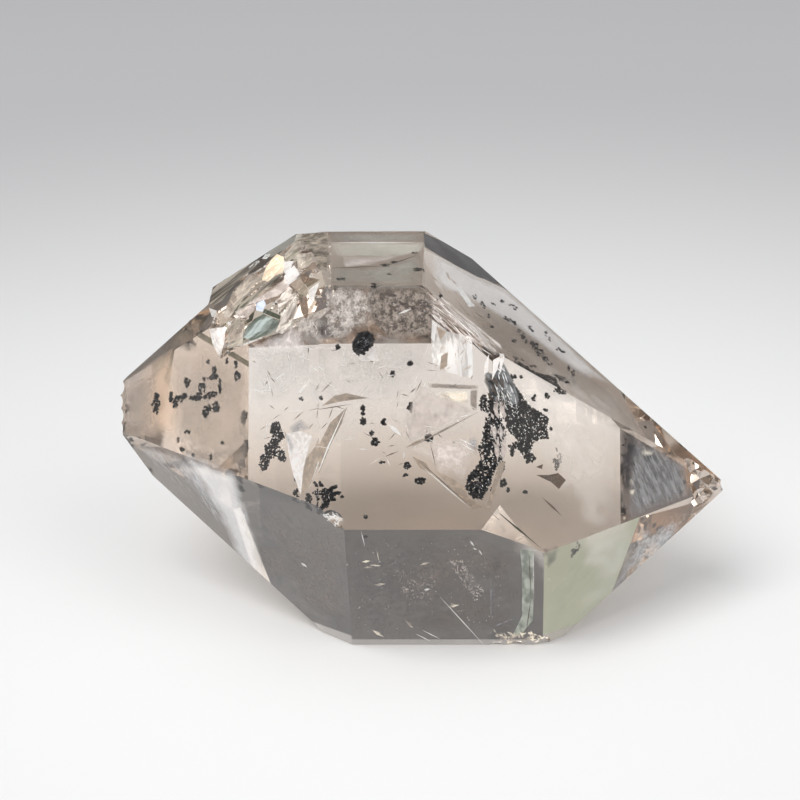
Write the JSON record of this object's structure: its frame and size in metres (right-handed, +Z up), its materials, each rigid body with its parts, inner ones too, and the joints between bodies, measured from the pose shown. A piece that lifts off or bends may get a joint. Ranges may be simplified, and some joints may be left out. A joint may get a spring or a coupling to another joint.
{
  "type": "herkimer diamond",
  "caption": "Loose double-ended smoky quartz crystal with a broken shoulder, black carbon flecks sealed inside, lying on one prism face.",
  "frame": {"origin": "under the middle of the crystal's bounding box, on the surface it rests on", "axes": "+X along the crystal's long axis towards its sharper tip, -Y towards the front faces, +Z up"},
  "size_m": [0.0548, 0.0347, 0.0336],
  "materials": {
    "smoky_quartz": "clear, pale smoky brown, natural crystal faces",
    "black_carbon": "glossy black grains sealed in the crystal",
    "healed_fracture": "thin silvery veils and cracks inside the crystal"
  },
  "bodies": {
    "root": {"quartz_crystal": "smoky_quartz"}
  },
  "joints": []
}
